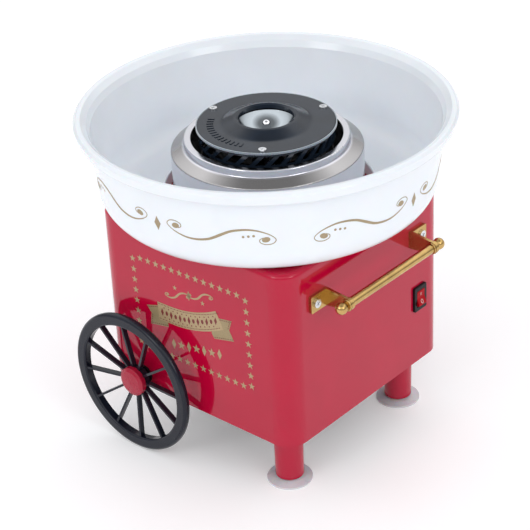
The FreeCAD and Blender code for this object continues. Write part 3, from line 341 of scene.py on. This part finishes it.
class Print:
    """Flat shapes gathered into one mesh, each a closed layer lying on a surface."""

    def __init__(self):
        self.points = []
        self.faces = []

    def add(self, points, faces):
        first = len(self.points)
        self.points += points
        self.faces += [[first + i for i in face] for face in faces]

    def patch(self, put, outline, lift=INK):
        """A filled outline. The outline goes round anticlockwise."""
        count = len(outline)
        ring = [put(u, v, lift) for u, v in outline] + [put(u, v, SUNK) for u, v in outline]
        sides = [[i, i + count, (i + 1) % count + count, (i + 1) % count] for i in range(count)]
        self.add(ring, [list(range(count)), list(range(2 * count - 1, count - 1, -1)), *sides])

    def stroke(self, put, line, widths, lift=INK):
        """A pen line along (u, v) points, as wide at each point as widths says."""
        rings = []
        for i, (point, width) in enumerate(zip(line, widths)):
            before, after = Vector(line[max(i - 1, 0)]), Vector(line[min(i + 1, len(line) - 1)])
            run = (after - before).normalized()
            aside = Vector((-run.y, run.x)) * width / 2
            left, right = Vector(point) + aside, Vector(point) - aside
            rings.append([put(*left, SUNK), put(*left, lift), put(*right, lift), put(*right, SUNK)])
        faces = [[4 * i + k, 4 * i + (k + 1) % 4, 4 * i + 4 + (k + 1) % 4, 4 * i + 4 + k]
                 for i in range(len(rings) - 1) for k in range(4)]
        last = 4 * (len(rings) - 1)
        self.add([p for ring in rings for p in ring],
                 [*faces, [3, 2, 1, 0], [last, last + 1, last + 2, last + 3]])

    def finish(self, name, material, body, slot):
        mesh = bpy.data.meshes.new(name)
        mesh.from_pydata(self.points, [], self.faces)
        mesh.materials.append(material)
        mesh.validate()
        piece = bpy.data.objects.new(name, mesh)
        bpy.context.scene.collection.objects.link(piece)
        make_normals_outward(mesh)
        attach(piece, body)
        return piece


def make_normals_outward(mesh):
    work = bmesh.new()
    work.from_mesh(mesh)
    bmesh.ops.recalc_face_normals(work, faces=work.faces)
    work.to_mesh(mesh)
    work.free()


def smooth_line(points, steps=10):
    """A Catmull-Rom curve through given points."""
    padded = [points[0], *points, points[-1]]
    line = []
    for i in range(1, len(padded) - 2):
        a, b, c, d = (Vector(padded[i + k]) for k in (-1, 0, 1, 2))
        for step in range(steps):
            t = step / steps
            line.append(tuple(0.5 * ((2 * b) + (c - a) * t + (2 * a - 5 * b + 4 * c - d) * t ** 2
                                     + (3 * b - a - 3 * c + d) * t ** 3)))
    line.append(tuple(points[-1]))
    return line


def ellipse(u, v, across, up, lean=0.0, count=28):
    """An ellipse from its middle and half widths, turned by lean radians."""
    turn = [2 * math.pi * i / count for i in range(count)]
    return [(u + across * math.cos(t) * math.cos(lean) - up * math.sin(t) * math.sin(lean),
             v + across * math.cos(t) * math.sin(lean) + up * math.sin(t) * math.cos(lean))
            for t in turn]


STAR_WAIST = 0.38


def star(u, v, radius):
    """A five-pointed star; its inner corners lie at STAR_WAIST of its radius."""
    corners = []
    for i in range(10):
        reach = radius if i % 2 == 0 else radius * STAR_WAIST
        angle = math.pi / 2 + i * math.pi / 5
        corners.append((u + reach * math.cos(angle), v + reach * math.sin(angle)))
    return corners


def diamond(u, v, width, height):
    """A diamond on its point, round its middle."""
    return [(u + width / 2, v), (u, v + height / 2), (u - width / 2, v), (u, v - height / 2)]


# one half of a scroll, from its middle out to the eye of the right-hand volute
SCROLL_HALF = [(0, 0), (8.2, 4.0), (17.6, 5.6), (26, 4.9), (34.4, 1.7), (38.9, -2.4), (37, -5.6),
               (32.4, -6.5), (28.4, -4.9), (28, -2.4), (30.6, -1.0)]


def scroll(into, put, size=1.0, thick=2.1, thin=0.62, at=(0, 0), lean=0.0, dots=True):
    """An S-shaped scroll with a volute at each end, an eye in each volute and, with dots, three dots
    beneath its right half."""
    turn = math.cos(lean), math.sin(lean)

    def move(point):
        u, v = point[0] * size, point[1] * size
        return at[0] + u * turn[0] - v * turn[1], at[1] + u * turn[1] + v * turn[0]

    half = smooth_line(SCROLL_HALF)
    line = [(-u, -v) for u, v in reversed(half[1:])] + half
    reach = len(half) - 1
    widths = []
    for i in range(len(line)):
        share = min(1.0, abs(i - reach) / reach * 2.4)
        widths.append((thin + (thick - thin) * (1 - share) ** 0.8) * size)
    into.stroke(put, [move(p) for p in line], widths)
    for end in (-1, 1):
        eye = ellipse(end * 32.2, end * -2.5, 2.9, 2.1, lean=0.25)
        into.patch(put, [move(p) for p in eye])
    if dots:
        for i in range(3):
            dot = ellipse(16.7 + 3.6 * i, -0.2 + 0.4 * i, 0.95, 0.95, count=16)
            into.patch(put, [move(p) for p in dot])


def decorate_bowl():
    """Four diamonds round the bowl, with a mirrored pair of scrolls between each two."""
    inlay = Print()

    def level(angle):
        """The print's height in mm. It sits askew, low on one side of the bowl and high across."""
        return 223.2 - 2.4 * math.sin(math.radians(angle + 138))

    first_diamond = -176
    scroll_apart = 23.5
    for quarter in range(4):
        corner = first_diamond + 90 * quarter
        inlay.patch(on_bowl(corner, level(corner)), diamond(0, -0.6, 5.4, 11.4))
        for mirror in (-1, 1):
            centre = corner + 45 + mirror * scroll_apart
            scroll(inlay, on_bowl(centre, level(centre), -mirror))
    inlay.finish("bowl_scrollwork", BOWL_INK, "bowl", "brass")


def side_ornaments(put):
    """A border of stars, a crest above the ribbon and a row of figures below it."""
    gold = Print()
    border_star = 3.2
    for i in range(13):
        for level in (162.0, 86.3):
            gold.patch(put, star(-47.4 + 7.9 * i, level, border_star))
    for i in range(9):
        for across in (-55.3, 55.3):
            gold.patch(put, star(across, 159.7 - 8.9 * i, border_star))
    # crest: two leaning scrolls with a diamond between them and a small star beside each
    for place in ((-12.0, 142.0), (11.0, 148.5)):
        scroll(gold, put, size=0.33, thick=5.0, thin=2.2, at=place, lean=0.30, dots=False)
    gold.patch(put, diamond(-0.5, 145.4, 3.2, 8.4))
    for across, level in ((-14.0, 147.8), (13.0, 143.6)):
        gold.patch(put, star(across, level, 2.2))
    # the row: diamonds and stars by turns, rising a little to the right
    row_start, row_pitch, row_rise = -20.5, 7.7, 0.15
    for i in range(7):
        across = row_start + row_pitch * i
        level = 98.0 + row_rise * (across - row_start)
        if i % 2:
            gold.patch(put, star(across, level, 3.9))
        else:
            gold.patch(put, diamond(across, level, 4.2, 9.0))
    return gold


# the ribbon on a casing side, in mm
RIBBON_LEFT, RIBBON_RIGHT, RIBBON_DEPTH = -33.6, 28.6, 15.0
RIBBON_STEPS = [RIBBON_LEFT + (RIBBON_RIGHT - RIBBON_LEFT) * i / 40 for i in range(41)]

# its two tails: outline, pairs of corners with a stitched edge between them, and a point inside
TAILS = [
    ([(-45.3, 123.3), (-41.1, 118.0), (-42.7, 108.0), (-24.5, 111.0), (-24.5, 117.0), (-34, 126.5)],
     ((1, 2), (2, 3), (0, 5)), (-33, 120)),
    ([(19.5, 121.4), (22.0, 117.2), (41.3, 121.3), (37.3, 129.3), (40.4, 138.0), (28.0, 136.2)],
     ((1, 2), (3, 4), (4, 5)), (30, 120)),
]
STITCH_PITCH, STITCH_WIDTH = 2.1, 0.55


def ribbon_middle(u):
    """Height of the ribbon's middle line: level at its left, rising to its right."""
    return 122.4 + (0.0052 * (u + 20) ** 2 if u > -20 else 0.0)


def ribbon_band(put):
    band = Print()
    line = [(u, ribbon_middle(u)) for u in RIBBON_STEPS]
    band.stroke(put, line, [RIBBON_DEPTH] * len(line), lift=BAND)
    return band


def ribbon_tails(put):
    tails = Print()
    for outline, _, _ in TAILS:
        tails.patch(put, outline)
    return tails


def stitch(into, put, start, end):
    """Dashes from one point to another."""
    run = Vector(end) - Vector(start)
    count = max(1, round(run.length / STITCH_PITCH))
    for i in range(count):
        first = Vector(start) + run * ((i + 0.2) / count)
        last = first + run * 0.62 / count
        into.stroke(put, [tuple(first), tuple(last)], [STITCH_WIDTH] * 2, lift=SEAM)


def ribbon_seams(put):
    """Stitches along the ribbon and its tails, and figures with dots between them on the ribbon."""
    seams = Print()
    for edge in (-6.3, 6.3):
        hem = [(u, ribbon_middle(u) + edge) for u in RIBBON_STEPS[::2]]
        for here, after in zip(hem, hem[1:]):
            stitch(seams, put, here, after)
    inset = 1.2
    for outline, hems, inside in TAILS:
        for first, last in hems:
            start, end = Vector(outline[first]), Vector(outline[last])
            inward = Vector((start.y - end.y, end.x - start.x)).normalized()
            if inward.dot(Vector(inside) - start) < 0:
                inward = -inward
            stitch(seams, put, start + inward * inset, end + inward * inset)
    pitch, figures = 4.5, 13
    for i in range(figures):
        u = -29.4 + pitch * i
        if i % 2:
            figure = ellipse(u, ribbon_middle(u), 1.25, 1.9, count=16)
        else:
            figure = diamond(u, ribbon_middle(u), 2.8, 6.8)
        seams.patch(put, figure, lift=SEAM)
        if i < figures - 1:
            between = u + pitch / 2
            for edge in (-4.1, 4.1):
                dot = ellipse(between, ribbon_middle(between) + edge, 0.6, 0.6, count=12)
                seams.patch(put, dot, lift=SEAM)
    return seams


def decorate_side(side, name):
    """A casing side's print: ornaments in a border, and a stitched ribbon with its tails."""
    put = on_side(side)
    side_ornaments(put).finish(name + "_ornaments", PANEL_INK, "base", "brass")
    ribbon_band(put).finish(name + "_ribbon", PANEL_INK, "base", "brass")
    ribbon_tails(put).finish(name + "_ribbon_tails", TAIL_INK, "base", "brass")
    ribbon_seams(put).finish(name + "_ribbon_stitching", SEAM_INK, "base", "red_casing")


def mark_rocker():
    """The on and off marks: a bar on the upper half and a ring on the lower."""
    put = on_rocker()
    marks = Print()
    marks.stroke(put, [(0, 1.9), (0, 4.3)], [0.5, 0.5], lift=MARK)
    ring = ellipse(0, -3.0, 1.15, 1.45, count=28)
    marks.stroke(put, [*ring, ring[0], ring[1]], [0.42] * (len(ring) + 2), lift=MARK)
    marks.finish("rocker_marks", MARK_INK, "rocker", "rocker_red")


decorate_bowl()
decorate_side(-1, "left_print")
decorate_side(1, "right_print")
mark_rocker()


# ---------------------------------------------------------------- camera, floor and light

def lamp(name, place, aim, width, power):
    """A square softbox at a place, turned towards its aim."""
    data = bpy.data.lights.new(name, "AREA")
    data.shape = "SQUARE"
    data.size = width
    data.energy = power
    made = bpy.data.objects.new(name, data)
    made.location = place
    made.rotation_euler = (Vector(aim) - Vector(place)).to_track_quat("-Z", "Y").to_euler()
    bpy.context.scene.collection.objects.link(made)


def floor():
    mesh = bpy.data.meshes.new("floor")
    reach = 12.0
    corners = [(-reach, -reach, 0), (reach, -reach, 0), (reach, reach, 0), (-reach, reach, 0)]
    mesh.from_pydata(corners, [], [(0, 1, 2, 3)])
    mesh.materials.append(moulded("floor_pale", (0.92, 0.92, 0.93), 0.6, tone=0.005, cloud=3, grain=200,
                                  Emission_Color=(1, 1, 1, 1), Emission_Strength=0.16))
    made = bpy.data.objects.new("floor", mesh)
    bpy.context.scene.collection.objects.link(made)


def camera():
    data = bpy.data.cameras.new("camera")
    data.lens = 122.71
    data.sensor_width = 36.0
    data.clip_start = 0.05
    data.clip_end = 60.0
    made = bpy.data.objects.new("camera", data)
    place = Vector((-0.88952, -0.79366, 0.81203))
    aim = Vector((-0.014713, -0.005100, 0.137486))
    turn = (aim - place).to_track_quat("-Z", "Y").to_matrix()
    roll = math.radians(-2.840)
    made.rotation_euler = (turn @ Matrix.Rotation(roll, 3, "Z")).to_euler()
    made.location = place
    bpy.context.scene.collection.objects.link(made)
    bpy.context.scene.camera = made


# brightness of the surroundings from the horizon (0) to straight overhead (1)
SKY = [(0.22, 0.42), (0.50, 1.22), (0.76, 1.56), (0.93, 0.36)]


def surroundings():
    """A white studio whose light comes mostly from high on its walls, round a dimmer ceiling."""
    world = bpy.data.worlds.new("studio")
    world.use_nodes = True
    nodes, links = world.node_tree.nodes, world.node_tree.links
    way = nodes.new("ShaderNodeTexCoord")
    split = nodes.new("ShaderNodeSeparateXYZ")
    ramp = nodes.new("ShaderNodeValToRGB")
    steps = ramp.color_ramp.elements
    while len(steps) < len(SKY):
        steps.new(0.5)
    brightest = max(bright for _, bright in SKY)
    for step, (height, bright) in zip(steps, SKY):
        step.position = height
        grey = bright / brightest
        step.color = (grey * 0.985, grey * 0.99, grey, 1)
    links.new(way.outputs["Generated"], split.inputs[0])
    links.new(split.outputs["Z"], ramp.inputs["Fac"])
    links.new(ramp.outputs["Color"], nodes["Background"].inputs["Color"])
    nodes["Background"].inputs["Strength"].default_value = brightest
    bpy.context.scene.world = world


floor()
camera()
surroundings()
lamp("left_softbox", (-1.765, 0.062, 1.14), (0, 0, 0.2), 0.66, 4.4)
lamp("right_softbox", (-0.246, -1.749, 1.14), (0, 0, 0.2), 0.66, 4.4)
bpy.context.scene.view_settings.view_transform = "Standard"
